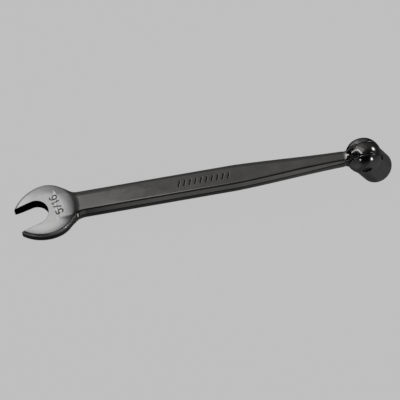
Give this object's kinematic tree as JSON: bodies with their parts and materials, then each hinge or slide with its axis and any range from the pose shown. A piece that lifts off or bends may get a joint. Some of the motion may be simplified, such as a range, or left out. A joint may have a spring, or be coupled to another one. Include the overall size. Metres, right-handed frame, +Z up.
{
  "type": "combination wrench",
  "caption": "Slim combination wrench with an offset open end and a hinged twelve-point socket end that tilts on a cross pin.",
  "frame": {"origin": "centre of the overall box on the surface that the tool lies on, with the socket at its resting bend", "axes": "+X runs along the tool from the open end to the socket end, +Y across the shank along the hinge axis towards the shorter jaw, +Z up out of the face that carries the size mark; the shank itself is pitched 5.3 degrees, its socket end raised"},
  "size_m": [0.1256, 0.0178, 0.0191],
  "materials": {
    "body_chrome": "satin chrome plate on forged steel",
    "socket_chrome": "polished chrome plate on forged steel",
    "pin_steel": "ground",
    "ball_steel": "polished",
    "spring_steel": "drawn wire"
  },
  "bodies": {
    "wrench_body": {"wrench_body": "body_chrome", "friction_ball": "ball_steel", "friction_spring": "spring_steel"},
    "flex_socket": {"flex_socket": "socket_chrome", "pivot_pin": "pin_steel"}
  },
  "joints": [
    {"name": "socket_tilt", "type": "hinge", "parent": "wrench_body", "child": "flex_socket", "pos_m": [0.05162, 0.00069, 0.01317], "axis": [0, 1, 0], "range_deg": [-152, 28]}
  ]
}
